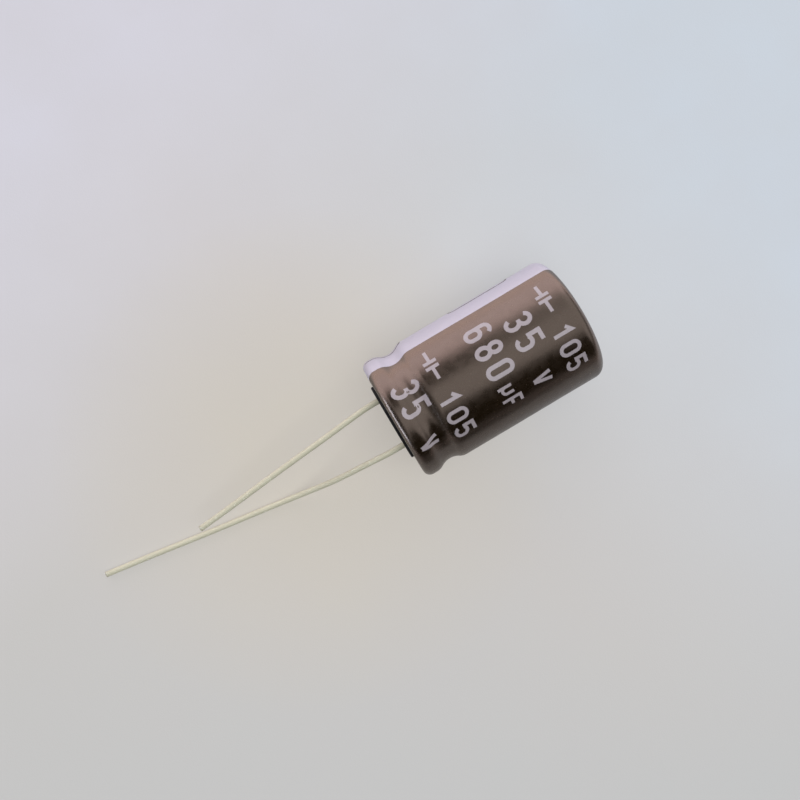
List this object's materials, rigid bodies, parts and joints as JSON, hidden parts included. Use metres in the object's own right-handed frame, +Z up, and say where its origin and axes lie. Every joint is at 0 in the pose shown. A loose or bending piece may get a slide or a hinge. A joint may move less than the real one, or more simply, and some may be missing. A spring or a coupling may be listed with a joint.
{
  "type": "radial electrolytic capacitor",
  "caption": "Sleeved aluminium can on its side, beaded over a black rubber seal, with two bent tinned leads of unequal length and a wound foil element inside.",
  "frame": {"origin": "centre of the rubber seal's seating face, on the can's own axis, where a board would meet it", "axes": "+X along the can's axis from the lead end to the head; +Y towards the stripe and the negative lead; +Z up, square to the table that the can lies on"},
  "size_m": [0.0546, 0.013, 0.013],
  "materials": {
    "bare_aluminium": "drawn, satin",
    "sleeve_film": "shrunk film, glossy, dark brown with a pale stripe",
    "seal_rubber": "moulded, matt black",
    "tinned_wire": "tinned, pale",
    "tab_aluminium": "pressed, bright",
    "etched_foil": "etched and formed, matt grey",
    "cathode_foil": "etched, matt",
    "separator_paper": "absorbent paper, soaked",
    "winding_tape": "thin adhesive tape"
  },
  "bodies": {
    "root": {"can": "bare_aluminium", "sleeve": "sleeve_film", "rubber_bung": "seal_rubber", "positive_lead": "tinned_wire", "negative_lead": "tinned_wire", "positive_tab": "tab_aluminium", "negative_tab": "tab_aluminium", "anode_foil": "etched_foil", "cathode_foil": "cathode_foil", "inner_separator": "separator_paper", "outer_separator": "separator_paper", "fixing_tape": "winding_tape"}
  },
  "joints": []
}
